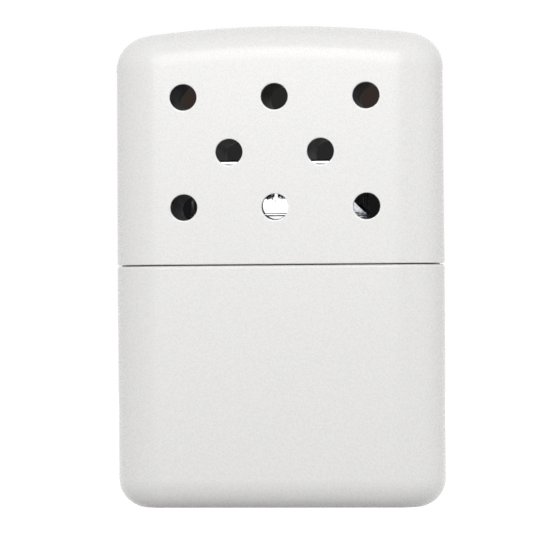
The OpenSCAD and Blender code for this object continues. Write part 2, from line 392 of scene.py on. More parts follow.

# %% [markdown]
# Paint draws back into a thicker bead round every punched hole, glossier
# there because the flakes have sunk in it. Its colour is painted whiter than
# the enamel's, a painted highlight that keeps a bright ring round each hole.

# %% Mix the bead of paint round a hole
# Painted highlight: the bead's colour is set whiter than the enamel, so the ring round each hole
# shows bright.
bead_with_painted_highlight, tree, shader = new_finish("bead_with_painted_highlight", (0.97, 0.97, 0.965), 0.0, 0.12)
flow = effect(tree, smudge, Scale=1400.0)
vary_colour(tree, shader, flow, (0.95, 0.95, 0.945), (0.99, 0.99, 0.985))
vary_roughness(tree, shader, flow, 0.08, 0.18)
emboss(tree, shader, (flow, 0.002 * MM))
set_levels(shader, Coat_Weight=0.5, Coat_Roughness=0.08)

# %% [markdown]
# The inside of both shells is bare. Spray reaches only a little way in, and
# the drawn sheet behind it has dulled to a dark grey-brown.

# %% Mix the bare inside
bare, tree, shader = new_finish("bare_inside", (0.32, 0.315, 0.315), 0.4, 0.45)
draw_marks = effect(tree, scratch, Spacing=1600.0, Length=40.0)
tarnish = effect(tree, smudge, Scale=220.0)
vary_colour(tree, shader, tarnish, (0.25, 0.24, 0.245), (0.48, 0.48, 0.505))
vary_roughness(tree, shader, tarnish, 0.30, 0.55)
emboss(tree, shader, (draw_marks, 0.002 * MM))
coats = (pearl, bare, bead_with_painted_highlight)

# %% [markdown]
# ## Modelling by hand, in code
#
# Each piece starts as a primitive and is shaped in edit mode. An operator
# acts on whatever is selected, so these helpers first clear the selection
# and then pick faces, edges or corners by a test.

# %% Helpers for objects
def select_only(*pieces):
    """Selects these objects alone and makes the first one active."""
    bpy.ops.object.select_all(action="DESELECT")
    for piece in pieces:
        piece.select_set(True)
    bpy.context.view_layer.objects.active = pieces[0]


def start(name, primitive, **settings):
    """Adds a primitive under this name, with nothing else selected."""
    bpy.ops.object.select_all(action="DESELECT")
    primitive(**settings)
    piece = bpy.context.active_object
    piece.name = name
    return piece


def use(piece, kind, **settings):
    """Adds a modifier with these settings and applies it."""
    modifier = piece.modifiers.new(kind.lower(), kind)
    for key, value in settings.items():
        setattr(modifier, key, value)
    select_only(piece)
    bpy.ops.object.modifier_apply(modifier=modifier.name)


def join(pieces, name):
    """Makes one object of several."""
    select_only(*pieces)
    bpy.ops.object.join()
    pieces[0].name = name
    return pieces[0]


def wear(piece, *finishes):
    """Gives the piece a slot for each of these materials."""
    for finish in finishes:
        piece.data.materials.append(finish)


def smooth(piece, degrees):
    """Shades the piece smooth over its soft edges, and evens the normals of its flats."""
    select_only(piece)
    bpy.ops.object.shade_smooth_by_angle(angle=math.radians(degrees))
    use(piece, "WEIGHTED_NORMAL", weight=80, keep_sharp=True)


def place(piece, body, *replaced, slot, finish=None, angle=None):
    """Finishes a piece, which rides on this body and stands for these CAD nodes."""
    if finish:
        wear(piece, finish)
    if angle:
        smooth(piece, angle)
    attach(piece, body)
    if replaced:
        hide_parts(*replaced)
    print(piece.name, len(piece.data.polygons), "faces")


# %% [markdown]
# In edit mode the operators work on the faces, edges or corners that are
# selected, and bmesh gives the code a look at each of them. A few shapes
# need their points moved by a rule instead, which one more helper does.

# %% Helpers for edit mode
SAME_PLACE = 1e-7
ON_PLANE = 1e-6


def edit(piece):
    """Makes this the only selected object and enters edit mode with nothing selected."""
    select_only(piece)
    bpy.ops.object.mode_set(mode="EDIT")
    bpy.ops.mesh.select_all(action="DESELECT")


def leave():
    """Back to object mode."""
    bpy.ops.object.mode_set(mode="OBJECT")


def pick(piece, kind, test):
    """In edit mode, selects the faces, edges or verts that pass the test."""
    bpy.ops.mesh.select_mode(type={"faces": "FACE", "edges": "EDGE", "verts": "VERT"}[kind])
    bpy.ops.mesh.select_all(action="DESELECT")
    mesh = bmesh.from_edit_mesh(piece.data)
    mesh.normal_update()
    found = 0
    for element in getattr(mesh, kind):
        if test(element):
            element.select_set(True)
            found += 1
    mesh.select_flush_mode()
    bmesh.update_edit_mesh(piece.data)
    return found


def move_points(piece, rule):
    """In edit mode, lets a rule move each corner of the mesh."""
    mesh = bmesh.from_edit_mesh(piece.data)
    for vert in mesh.verts:
        rule(vert)
    bmesh.update_edit_mesh(piece.data)


def runs_along(axis):
    """A test for edges that run along an axis, by its number."""
    return lambda edge: abs(
        (edge.verts[0].co - edge.verts[1].co).normalized()[axis]) > 0.99


def facing(x, y, z):
    """A test for faces that look along this direction."""
    way = Vector((x, y, z))
    return lambda face: face.normal.dot(way) > 0.99


# %% [markdown]
# ## Drawing the shells
#
# Both shells are deep drawn: a flat blank is pressed into a cup with round
# ends and a rounded edge. The cup can be modelled the same way round. A
# block gets its four upright edges rounded until the ends are half circles,
# the face that will be the cup's bottom is inset in small steps that follow
# a quarter circle, and the sheet then gets its thickness.

# %% Helpers for drawn sheet
WALL = 0.6 * MM


def stadium_block(name, width, depth, low, high, steps=20):
    """A block with two flat sides and two half-round ends."""
    block = start(
        name, bpy.ops.mesh.primitive_cube_add, size=1, location=(0, 0, (low + high) / 2))
    block.scale = (width, depth, high - low)
    bpy.ops.object.transform_apply(location=True, rotation=True, scale=True)
    edit(block)
    pick(block, "edges", runs_along(2))
    bpy.ops.mesh.bevel(offset=depth / 2, segments=steps, affect="EDGES", clamp_overlap=True)
    bpy.ops.mesh.select_all(action="SELECT")
    bpy.ops.mesh.remove_doubles(threshold=0.004 * MM)
    leave()
    return block


def round_over(radius, steps=12):
    """Insets the selected flat face along a quarter circle, as a pressed edge."""
    before = (0.0, 0.0)
    for i in range(1, steps + 1):
        angle = math.pi / 2 * i / steps
        now = (radius * (1 - math.cos(angle)), radius * math.sin(angle))
        bpy.ops.mesh.inset(
            thickness=now[0] - before[0], depth=now[1] - before[1],
            use_even_offset=True, use_boundary=True,
        )
        before = now


def cut_columns(places, axis=(1, 0, 0)):
    """Cuts the whole piece across an axis at each of these places."""
    for spot in places:
        bpy.ops.mesh.select_all(action="SELECT")
        bpy.ops.mesh.bisect(plane_co=Vector(axis) * spot, plane_no=axis)


def give_wall(shell, rim_z, ease):
    """Thickens the shell inwards and rounds the outer edge of its rim by this much."""
    use(shell, "SOLIDIFY", thickness=WALL, offset=-1, use_even_offset=True, material_offset=1)

    def outer_rim(edge):
        at_rim = all(abs(vert.co.z - rim_z) < ON_PLANE for vert in edge.verts)
        return at_rim and sum(abs(face.normal.z) < 0.5 for face in edge.link_faces) == 1

    edit(shell)
    print("rim edges eased:", pick(shell, "edges", outer_rim))
    bpy.ops.mesh.bevel(offset=ease, segments=5, affect="EDGES")
    leave()


# %% [markdown]
# ### Tank
#
# The tank is the lower half of the casing. Its mouth is where the seam is
# seen, and the paint wraps round the cut edge there, so that edge is eased.
# The bottom edge is pressed tighter on the flat sides than round the ends,
# so after the even rounding the sides are pushed out to their own curve.

# %% Draw the tank's shell
BASE_EDGE = 4.4 * MM
BASE_FRONT = 3.3 * MM
RIM_EASE = 0.42 * MM
tank_low, tank_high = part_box("tank_shell")
width = tank_high.x - tank_low.x
depth = tank_high.y - tank_low.y
tank = stadium_block("tank_pearl", width, depth, tank_low.z + BASE_EDGE, tank_high.z)
edit(tank)
pick(tank, "faces", facing(0, 0, 1))
bpy.ops.mesh.delete(type="FACE")
pick(tank, "faces", facing(0, 0, -1))
round_over(BASE_EDGE)


def tighten(vert):
    """Pushes the flat sides' bottom edge out to its smaller radius."""
    drop = (tank_low.z + BASE_EDGE - vert.co.z) / BASE_EDGE
    if drop > 1e-4:
        inset = 1 - math.sqrt(max(1 - drop * drop, 0))
        vert.co.y *= (depth / 2 - BASE_FRONT * inset) / (depth / 2 - BASE_EDGE * inset)


move_points(tank, tighten)
leave()
wear(tank, pearl, bare)
give_wall(tank, tank_high.z, RIM_EASE)
place(tank, "tank", "tank_shell", slot="pearl_paint", angle=35)

# %% [markdown]
# ### Lid
#
# The lid is drawn the same way, but its end is arched: seen from the front,
# the crown is part of a wide circle. The block's flat sides are cut into
# columns first, so that they can be turned one by one about the middle of
# that circle, as if the crown were bent over a former.

# %% Draw the lid's shell
CROWN_EDGE = 5.4 * MM
CROWN_ARCH = 170 * MM
COLUMNS = 16
LID_EASE = 0.15 * MM
lid_low, lid_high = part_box("lid_shell")
shoulder = lid_high.z - CROWN_EDGE
half_flat = (width - depth) / 2
lid = stadium_block("lid_pearl", width, depth, lid_low.z, shoulder)
edit(lid)
pick(lid, "faces", facing(0, 0, -1))
bpy.ops.mesh.delete(type="FACE")
cut_columns([half_flat * (2 * i / COLUMNS - 1) for i in range(1, COLUMNS)])
pick(lid, "faces", facing(0, 0, 1))
round_over(CROWN_EDGE)
centre = lid_high.z - CROWN_ARCH
neutral = CROWN_ARCH - (lid_high.z - shoulder)


def arch(vert):
    """Bends the crown over the wide circle."""
    if vert.co.z > shoulder - ON_PLANE:
        angle = vert.co.x / neutral
        reach = vert.co.z - centre
        vert.co.x = reach * math.sin(angle)
        vert.co.z = centre + reach * math.cos(angle)


move_points(lid, arch)
leave()
wear(lid, *coats)
give_wall(lid, lid_low.z, LID_EASE)

# %% [markdown]
# ### Vents
#
# Eight holes are punched through the front and through the back, a hair
# wider than tall. The paint builds up into a small rounded lip round each.
# The punch is turned once, with that lip in its outline, and copied to every
# place.

# %% Punch the vents
VENT_RADIUS = 2.0 * MM
VENT_LIP = 0.22 * MM
LIP_STEPS = 5
VENT_STRETCH = 1.03
PUNCH_END = 1 * MM
vent_rows = [(45.9, (-14, 0, 14)), (54.3, (-7, 7)), (62.7, (-14, 0, 14))]


def vent_punch():
    """A punch along Y whose ends flare to the lip where they meet the sheet's two faces."""
    punch = start(
        "punch", bpy.ops.mesh.primitive_cylinder_add, vertices=64, radius=VENT_RADIUS,
        depth=depth - 2 * VENT_LIP, end_fill_type="NGON", rotation=(math.pi / 2, 0, 0))
    punch.scale.x = VENT_STRETCH
    bpy.ops.object.transform_apply(rotation=True, scale=True)
    edit(punch)
    for way in (-1, 1):
        pick(punch, "faces", facing(0, way, 0))
        grown_by = 0.0
        risen = 0.0
        for i in range(1, LIP_STEPS + 1):
            angle = math.pi / 2 * i / LIP_STEPS
            out = VENT_LIP * (1 - math.cos(angle))
            up = VENT_LIP * math.sin(angle)
            bpy.ops.mesh.extrude_region_move(
                TRANSFORM_OT_translate={"value": (0, way * (up - risen), 0)})
            scale = (VENT_RADIUS + out) / (VENT_RADIUS + grown_by)
            bpy.ops.transform.resize(value=(scale, 1, scale), center_override=(0, 0, 0))
            grown_by, risen = out, up
        bpy.ops.mesh.extrude_region_move(
            TRANSFORM_OT_translate={"value": (0, way * PUNCH_END, 0)})
    pick(punch, "faces", lambda face: abs(face.normal.y) < 0.01 and face.calc_area() > MM * MM)
    for face in bmesh.from_edit_mesh(punch.data).faces:
        face.material_index = 1 if face.select else 2
    leave()
    wear(punch, *coats)
    return punch


def punch_out(piece, punch, spot):
    """Cuts a copy of the punch, moved to this spot, out of the piece."""
    copy = punch.copy()
    copy.data = punch.data.copy()
    scene.collection.objects.link(copy)
    copy.data.transform(Matrix.Translation(spot))
    use(piece, "BOOLEAN", operation="DIFFERENCE", object=copy, solver="EXACT")
    bpy.data.objects.remove(copy)


punch = vent_punch()
for z, columns in vent_rows:
    for x in columns:
        punch_out(lid, punch, (x * MM, 0, z * MM))
bpy.data.objects.remove(punch)
place(lid, "lid", "lid_shell", slot="pearl_paint", angle=35)

# %% [markdown]
# ## Plated and bare metal
#
# The burner is plated and polished like a mirror, so what it reflects is
# most of its look; fine scratches and a few smudges keep it from being
# perfect. The band that the lid slides over is a softer nickel with marks
# from the lid. Where it leaves the tank its colour is painted nearly black
# and not metallic, a painted shade for the dark gap of the seam. The neck
# has the same plating with a breath of brass in it, and the steel parts
# inside are plain and a little dull.

# %% Mix the metals
# Colour and reach of the painted shade on the band in the seam's gap.
SEAM_SHADE = (0.02, 0.018, 0.016, 1)
SEAM_SHADE_SOLID = 0.25 * MM
SEAM_SHADE_FADE = 0.6 * MM


def metal(name, dark, light, rough, smudge_scale, marks, mark_height):
    """Bare or plated metal: smudged gloss, a colour that drifts, and fine scratches."""
    made, tree, shader = new_finish(name, light, 1.0, rough[0])
    smudges = effect(tree, smudge, Scale=smudge_scale)
    lines = effect(tree, scratch, Spacing=marks[0], Length=marks[1])
    vary_colour(tree, shader, smudges, dark, light)
    vary_roughness(tree, shader, calculate(tree, smudges, ("MAXIMUM", lines)), *rough)
    emboss(tree, shader, (lines, mark_height))
    return made


def along(tree, x, y, z):
    """How far each point of the piece lies along a direction, in metres."""
    return add(
        tree, "VectorMath", (0, place_of(tree)), (1, (x, y, z)),
        operation="DOT_PRODUCT").outputs["Value"]


def fed_by(shader, label):
    """What feeds this socket of the shader."""
    return shader.inputs[label].links[0].from_socket


burner_plate = metal(
    "burner_plate", (0.70, 0.705, 0.725), (0.80, 0.805, 0.82), (0.035, 0.10), 160.0,
    (1500.0, 50.0), 0.0006 * MM)
band_plate = metal(
    "band_plate", (0.66, 0.645, 0.61), (0.72, 0.705, 0.67), (0.20, 0.30), 90.0,
    (3200.0, 30.0), 0.0015 * MM)
# Painted shade: near the tank's mouth the band turns nearly black and stops being metal, standing
# for the shade in the seam's gap.
tree, shader = inside(band_plate)
from_mouth = calculate(tree, along(tree, 0, 0, 1), ("SUBTRACT", tank_high.z), ("ABSOLUTE",))
unshaded = between(tree, from_mouth, SEAM_SHADE_SOLID, SEAM_SHADE_FADE)
tree.links.new(
    mixed(tree, unshaded, SEAM_SHADE, fed_by(shader, "Base Color")), shader.inputs["Base Color"])
tree.links.new(unshaded, shader.inputs["Metallic"])
neck_plate = metal(
    "neck_plate", (0.66, 0.60, 0.49), (0.76, 0.73, 0.65), (0.12, 0.26), 160.0,
    (2400.0, 80.0), 0.001 * MM)
dull_steel = metal(
    "dull_steel", (0.38, 0.37, 0.36), (0.52, 0.52, 0.52), (0.28, 0.48), 400.0,
    (2800.0, 200.0), 0.002 * MM)
wire_steel = metal(
    "wire_steel", (0.30, 0.29, 0.30), (0.60, 0.61, 0.63), (0.20, 0.40), 1500.0,
    (5000.0, 600.0), 0.001 * MM)
solder = metal(
    "brass_solder", (0.62, 0.43, 0.20), (0.86, 0.68, 0.38), (0.25, 0.55), 700.0,
    (900.0, 900.0), 0.010 * MM)

# %% [markdown]
# ### Dents in the burner's plating
#
# A mirror shows every dent in it. The burner stands a hair askew, and its
# round ends are marked: low on the right a flattened patch with fine folds,
# beside it a fold that runs nearly upright, and on the left a narrow flat
# line. All are too shallow for the mesh, so they are heights for a bump.
#
# A bump tips the normal by the slope of its height. On a round end the
# normal turns with the place, and the height whose slope turns it back to
# one direction is the logarithm of a cosine. There the round end mirrors
# like a flat.

# %% Heights for the dents
ASKEW = (-0.055, 0.0, 0.085)
END_X = 8.55 * MM
END_RADIUS = 5.02 * MM
END_LIMIT = 0.985
FACET = math.radians(12)
PATCH_SINK = 0.45 * MM
FOLD_SCALE = 900.0
FOLD_SWING = 0.40 * MM
CREASE_LEAN = 0.083
CREASE_AT = 17.19 * MM
CREASE_HALF = 0.10 * MM
CREASE_RISE = 0.11 * MM
LINE_SINK = 4.2 * MM
tree, shader = inside(burner_plate)
to_right = along(tree, 1, 0, 0)
to_left = along(tree, -1, 0, 0)
upwards = along(tree, 0, 0, 1)


def flattened(x, facet, sink):
    """A height that turns the round end's normals towards one direction, like a flat."""
    return calculate(
        tree, x, ("SUBTRACT", END_X), ("DIVIDE", END_RADIUS), ("MINIMUM", END_LIMIT),
        ("ARCSINE",), ("SUBTRACT", facet), ("COSINE",), ("LOGARITHM", math.e),
        ("MULTIPLY", -END_RADIUS), ("SUBTRACT", sink))


def low_beyond(x, off_x, on_x, off_z, on_z):
    """1 beyond on_x and below on_z, fading to 0 at off_x and off_z."""
    beyond = between(tree, x, off_x, on_x)
    return calculate(tree, beyond, ("MULTIPLY", between(tree, upwards, off_z, on_z)))


folds = calculate(
    tree, cloud(tree, place_of(tree), FOLD_SCALE, Detail=2.0, Distortion=0.5),
    ("SUBTRACT", 0.5), ("MULTIPLY", FOLD_SWING), ("ADD", flattened(to_right, FACET, PATCH_SINK)))
low_corner = between(tree, along(tree, 1, 0, 1), 59.1 * MM, 58.3 * MM)
patch = calculate(
    tree, low_corner, ("MULTIPLY", between(tree, to_right, 9.8 * MM, 11.6 * MM)))
from_crease = calculate(
    tree, along(tree, 1, 0, CREASE_LEAN), ("SUBTRACT", CREASE_AT), ("ABSOLUTE",))
crease = ramp(tree, from_crease, CREASE_HALF, 0.0, CREASE_RISE)
end_line = low_beyond(to_left, 13.16 * MM, 13.24 * MM, 47.3 * MM, 46.9 * MM)
foot_line = low_beyond(to_left, 12.6 * MM, 12.8 * MM, 45.0 * MM, 44.8 * MM)
line = calculate(
    tree, end_line, ("MAXIMUM", foot_line), ("MULTIPLY", flattened(to_left, 0.0, LINE_SINK)))
dents = calculate(tree, patch, ("MULTIPLY", folds), ("ADD", crease), ("ADD", line))

# %% [markdown]
# The folded patch is also duller than the plating round it, and a bluish
# grey towards the very end.

# %% Dull the patch and lay the dents on the plating
PATCH_DULL = 0.22
PATCH_TINT = 0.75
PATCH_GREY = (0.26, 0.28, 0.33, 1)
duller = calculate(tree, patch, ("MULTIPLY", PATCH_DULL), ("ADD", fed_by(shader, "Roughness")))
tree.links.new(duller, shader.inputs["Roughness"])
tinted = calculate(
    tree, patch, ("MULTIPLY", ramp(tree, to_right, 12.0 * MM, 13.2 * MM, PATCH_TINT)))
tree.links.new(
    mixed(tree, tinted, fed_by(shader, "Base Color"), PATCH_GREY), shader.inputs["Base Color"])
emboss(tree, shader, (dents, 1.0), (along(tree, *ASKEW), 1.0))

# %% [markdown]
# ## Sheet parts with round ends
#
# The guide band, the filler neck, the solder round it and the burner's case
# all follow the same outline: two flat sides and two round ends. Their
# sections differ. So one ring of that outline is extruded step by step, and
# each new ring is set to its own width, depth and height. A section is a
# list of such steps, and its round corners come from a function.

# %% Helpers for ring sections
def grown(size, by):
    """A (width, depth) pair made larger all round by this much."""
    return size[0] + 2 * by, size[1] + 2 * by


def bend(size, by, z, radius, begin, end, steps=5):
    """Steps round a corner whose middle is the outline of this size, grown by this much."""
    width, depth = grown(size, by)
    rings = []
    for i in range(steps + 1):
        angle = math.radians(begin + (end - begin) * i / steps)
        out = radius * math.cos(angle)
        rings.append((width + 2 * out, depth + 2 * out, z + radius * math.sin(angle)))
    return rings


def set_ring(piece, was, now):
    """Moves the selected ring from one stadium outline to another: (width, depth, z) each."""
    def reset(vert):
        if vert.select:
            side = math.copysign(0.5, vert.co.x)
            across = (vert.co.x - side * (was[0] - was[1])) / (was[1] / 2)
            forth = vert.co.y / (was[1] / 2)
            vert.co = (side * (now[0] - now[1]) + across * now[1] / 2, forth * now[1] / 2, now[2])

    move_points(piece, reset)


def extrude_section(name, section, closed=True, steps=20):
    """A sheet part made by extruding a stadium ring through the section's steps."""
    width, depth, z = section[0]
    part = stadium_block(name, width, depth, z - MM, z, steps)
    edit(part)
    pick(part, "verts", lambda vert: vert.co.z < z - MM / 2)
    bpy.ops.mesh.delete(type="VERT")
    pick(part, "faces", lambda face: True)
    bpy.ops.mesh.delete(type="ONLY_FACE")
    if closed:
        section = section + [section[0]]
    pick(part, "edges", lambda edge: True)
    before = section[0]
    for ring in section[1:]:
        if max(abs(a - b) for a, b in zip(before, ring)) > SAME_PLACE:
            bpy.ops.mesh.extrude_region_move()
            set_ring(part, before, ring)
            before = ring
    if not closed:
        bpy.ops.mesh.edge_face_add()
        pick(part, "edges", lambda edge: edge.is_boundary)
        bpy.ops.mesh.edge_face_add()
    bpy.ops.mesh.select_all(action="SELECT")
    bpy.ops.mesh.remove_doubles(threshold=0.001 * MM)
    bpy.ops.mesh.normals_make_consistent(inside=False)
    leave()
    return part


# %% [markdown]
# ### Guide band and deck
#
# One pressing closes the tank: a band that stands up out of the tank's
# mouth, for the lid to slide over, and a flat deck on top of it. The neck
# comes up through the deck, so its hole is a hair larger than the neck.

# %% Press the band and the deck
EASE = 0.08 * MM
BAND_WALL = 0.4 * MM
DECK_EDGE = 0.6 * MM
BEAD = 0.18 * MM
HOLE_GAP = 0.04 * MM
band_low, band_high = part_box("tank_cap")
neck_low, neck_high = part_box("filler_neck")
burner_low, burner_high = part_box("burner_case")
band_width = band_high.x - band_low.x
band_size = (band_width, band_width - 2 * half_flat)
case = grown((burner_high.x - burner_low.x, burner_high.y - burner_low.y), -BEAD)
hole = grown(case, HOLE_GAP / 2)
deck_z = band_high.z
band_section = (
    bend(band_size, -EASE, band_low.z + EASE, EASE, -90, 0)
    + bend(band_size, -DECK_EDGE, deck_z - DECK_EDGE, DECK_EDGE, 0, 90, steps=8)
    + bend(hole, EASE, deck_z - EASE, EASE, 90, 180)
    + bend(hole, EASE, deck_z - BAND_WALL + EASE, EASE, 180, 270)
    + bend(band_size, -DECK_EDGE, deck_z - DECK_EDGE, DECK_EDGE - BAND_WALL, 90, 0)
    + bend(band_size, EASE - BAND_WALL, band_low.z + EASE, EASE, 180, 270)
)
band = extrude_section("guide_band", band_section)

# %% [markdown]
# Four shallow dimples on the band's flat sides grip the lid. The side is cut
# into small squares round each dimple, and their corners are pushed out as
# if a ball had been pressed from behind.

# %% Press the dimples
DIMPLE_X = 13 * MM
DIMPLE_BALL = 4 * MM
DIMPLE_RISE = 0.09 * MM
DIMPLE_CUTS = 7
FLAT_ENOUGH = 0.01 * MM
dimple_z = tank_high.z + (deck_z - tank_high.z) / 2
dimple_reach = math.sqrt(DIMPLE_BALL ** 2 - (DIMPLE_BALL - DIMPLE_RISE) ** 2)


def press_dimple(piece, x, way):
    """Cuts the flat side into squares round the dimple and pushes their corners out."""
    flat = way * band_size[1] / 2
    edit(piece)
    for axis, middle in (((1, 0, 0), x), ((0, 0, 1), dimple_z)):
        for i in range(-DIMPLE_CUTS, DIMPLE_CUTS + 1):
            spot = middle + dimple_reach * i / (DIMPLE_CUTS - 1)
            pick(piece, "faces", lambda face: face.normal.y * way > 0.99
                 and abs(face.calc_center_median().y - flat) < FLAT_ENOUGH)
            bpy.ops.mesh.bisect(plane_co=Vector(axis) * spot, plane_no=axis)

    def push_out(vert):
        off = math.hypot(vert.co.x - x, vert.co.z - dimple_z)
        if abs(vert.co.y - flat) < ON_PLANE and off < dimple_reach:
            ball = math.sqrt(DIMPLE_BALL ** 2 - off ** 2) - (DIMPLE_BALL - DIMPLE_RISE)
            vert.co.y += way * ball

    move_points(piece, push_out)
    leave()


for way in (-1, 1):
    for x in (-DIMPLE_X, DIMPLE_X):
        press_dimple(band, x, way)
place(band, "tank", "tank_cap", slot="plated_band", finish=band_plate, angle=40)

# %% [markdown]
# ### Filler neck
#
# The neck is an oval tube with a flange under the deck, a wider boss
# through it, a shoulder that the burner's skirt stands over, and a rolled
# lip at its mouth. Its section follows both faces of the sheet, so that the
# corners are round inside and out.

# %% Draw the filler neck
NECK_WALL = 0.4 * MM
NECK_CLEAR = 0.08 * MM
CORNER = 0.2 * MM
SHARP = 0.02 * MM
FILLET = 0.2 * MM
SHOULDER_RISE = 1.0 * MM
INNER = FILLET + NECK_WALL
LIP = NECK_WALL / 2
boss = case
neck = grown(case, -NECK_WALL - NECK_CLEAR)
flange = (neck_high.x - neck_low.x, neck_high.y - neck_low.y)
flange_top = neck_low.z + NECK_WALL
shoulder_z = deck_z + SHOULDER_RISE
neck_section = (
    bend(flange, -EASE, neck_low.z + EASE, EASE, -90, 0)
    + bend(flange, -EASE, flange_top - EASE, EASE, 0, 90)
    + bend(boss, FILLET, flange_top + FILLET, FILLET, 270, 180)
    + bend(boss, -CORNER, shoulder_z - CORNER, CORNER, 0, 90)
    + bend(neck, FILLET, shoulder_z + FILLET, FILLET, 270, 180)
    + bend(neck, -LIP, neck_high.z - LIP, LIP, 0, 180, steps=10)
    + bend(neck, FILLET, shoulder_z + FILLET, INNER, 180, 270)
    + bend(boss, -NECK_WALL - SHARP, shoulder_z - NECK_WALL - SHARP, SHARP, 90, 0)
    + bend(boss, FILLET, flange_top + FILLET, INNER, 180, 270)
)
neck_tube = extrude_section("filler_neck_tube", neck_section)
place(neck_tube, "tank", "filler_neck", slot="plated_neck", finish=neck_plate, angle=40)

# %% [markdown]
# ### Solder round the neck
#
# Where the boss comes through the deck it is soldered. Molten brass creeps
# up both walls and leaves a hollow fillet that is a little lumpy. The fillet
# is extruded like the other sections, cut into short lengths, and its outer
# corners then get a small uneven swell.

# %% Run the solder round
SOLDER_GAP = 0.02 * MM
TOE = 0.04 * MM
TOE_OUT = 0.35 * MM
HOLLOW = 0.30 * MM
HOLLOW_OUT = 0.42 * MM
HOLLOW_UP = 0.38 * MM
NOSE = 0.06 * MM
NOSE_OUT = 0.07 * MM
LUMP = 0.05 * MM
LUMP_SIZE = 1.1 * MM
FINER = 2.7
LENGTHS = 0.35 * MM
solder_low, solder_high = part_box("neck_braze")
solder_root = grown(boss, SOLDER_GAP)
solder_section = (
    [(*solder_root, solder_low.z)]
    + bend(solder_root, TOE_OUT, solder_low.z + TOE, TOE, -90, 90)
    + bend(solder_root, HOLLOW_OUT, solder_low.z + HOLLOW_UP, HOLLOW, 257, 200)
    + bend(solder_root, NOSE_OUT, solder_high.z - NOSE, NOSE, 45, 180)
)
bead_of_solder = extrude_section("neck_solder", solder_section, steps=40)
edit(bead_of_solder)
cut_columns([LENGTHS * i for i in range(-25, 26)])
end_x = (boss[0] - boss[1]) / 2


def swell_lump(vert):
    """Lifts or sinks the solder's surface unevenly, inside its CAD height."""
    if vert.co.z > solder_low.z + 0.01 * MM:
        lump = noise.noise(vert.co / LUMP_SIZE) + 0.5 * noise.noise(vert.co / LUMP_SIZE * FINER)
        vert.co.z = min(vert.co.z + LUMP * lump, solder_high.z)
        nearest = min(max(vert.co.x, -end_x), end_x)
        away = Vector((vert.co.x - nearest, vert.co.y, 0))
        vert.co += away.normalized() * LUMP * min(lump, 0) * 1.5


move_points(bead_of_solder, swell_lump)
leave()
place(bead_of_solder, "tank", "neck_braze", slot="braze", finish=solder, angle=60)

# %% [markdown]
# ### Burner
#
# The burner's case is a drawn cap with a raised bead round its skirt. Its
# section goes up the inside and down the outside, and the ring at its top is
# closed by a face.

# %% Draw the burner's case
CASE_EDGE = 0.6 * MM
BEAD_RISE = 1.6 * MM
BEAD_FLAT = 0.03 * MM
BEAD_FOOT = 0.23 * MM
BEAD_TIP = 0.08 * MM
BEAD_OUT = BEAD - BEAD_TIP
bead_z = burner_low.z + BEAD_RISE
case_top = burner_high.z
case_inner = grown(case, -NECK_WALL)
edge_z = case_top - CASE_EDGE
case_section = (
    bend(case, -CASE_EDGE, edge_z, CASE_EDGE - NECK_WALL, 90, 0, steps=8)
    + [(*case_inner, bead_z + BEAD_FOOT)]
    + bend(case_inner, BEAD_OUT, bead_z + BEAD_FLAT, BEAD_TIP, 45, 0)
    + bend(case_inner, BEAD_OUT, bead_z - BEAD_FLAT, BEAD_TIP, 0, -45)
    + [(*case_inner, bead_z - BEAD_FOOT)]
    + bend(case_inner, EASE, burner_low.z + EASE, EASE, 180, 270)
    + bend(case, -EASE, burner_low.z + EASE, EASE, -90, 0)
    + [(*case, bead_z - BEAD_FOOT)]
    + bend(case, BEAD_OUT, bead_z - BEAD_FLAT, BEAD_TIP, -45, 0)
    + bend(case, BEAD_OUT, bead_z + BEAD_FLAT, BEAD_TIP, 0, 45)
    + [(*case, bead_z + BEAD_FOOT)]
    + bend(case, -CASE_EDGE, edge_z, CASE_EDGE, 0, 90, steps=8)
)
burner = extrude_section("burner_shell", case_section, closed=False, steps=24)
wear(burner, burner_plate)

# %% [markdown]
# Four windows are punched through the front, the back and the top. Their
# corners are round, because a punch's are, and a last narrow bevel lets
# every cut edge catch the light.

# %% Punch the windows
WINDOWS = 4
BAR = 0.5 * MM
WINDOW_HEIGHT = 4.4 * MM
WINDOW_CORNER = 0.45 * MM
WINDOW_GAP = 0.02 * MM
SLOT_INSET = 2.0 * MM
SLOT_PUNCH = 2 * MM
CUT_EDGE = 0.05 * MM
window_width = (case_inner[0] - case_inner[1] - (WINDOWS - 1) * BAR) / WINDOWS
window_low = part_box("lower_screen")[0].z - WINDOW_GAP
slot_depth = case_inner[1] - 2 * SLOT_INSET


def window_punch(size, axis):
    """A punch of this size with round corners, which runs along this axis."""
    punch = start("punch", bpy.ops.mesh.primitive_cube_add, size=1, location=(0, 0, 0))
    punch.scale = size
    bpy.ops.object.transform_apply(scale=True)
    edit(punch)
    pick(punch, "edges", runs_along(axis))
    bpy.ops.mesh.bevel(offset=WINDOW_CORNER, segments=5, affect="EDGES")
    leave()
    wear(punch, burner_plate)
    return punch


middles = [(i - (WINDOWS - 1) / 2) * (window_width + BAR) for i in range(WINDOWS)]
through = window_punch((window_width, depth, WINDOW_HEIGHT), 1)
slot = window_punch((window_width, slot_depth, SLOT_PUNCH), 2)
for x in middles:
    punch_out(burner, through, (x, 0, window_low + WINDOW_HEIGHT / 2))
    punch_out(burner, slot, (x, 0, case_top))
for punch in (through, slot):
    bpy.data.objects.remove(punch)
use(burner, "BEVEL", width=CUT_EDGE, segments=2, limit_method="ANGLE",
    angle_limit=math.radians(50), use_clamp_overlap=True)
place(burner, "burner", "burner_case", slot="plated_burner", angle=40)

# %% [markdown]
# ### Wire gauze
#
# Behind the windows, front and back, a woven gauze holds the catalyst in.
# One wire is a thin six-sided rod, cut into short lengths and waved so that
# it passes over and under the wires it crosses. Its neighbour has the
# opposite wave. An array copies the pair, and the other direction is the
# same wire turned on its side.

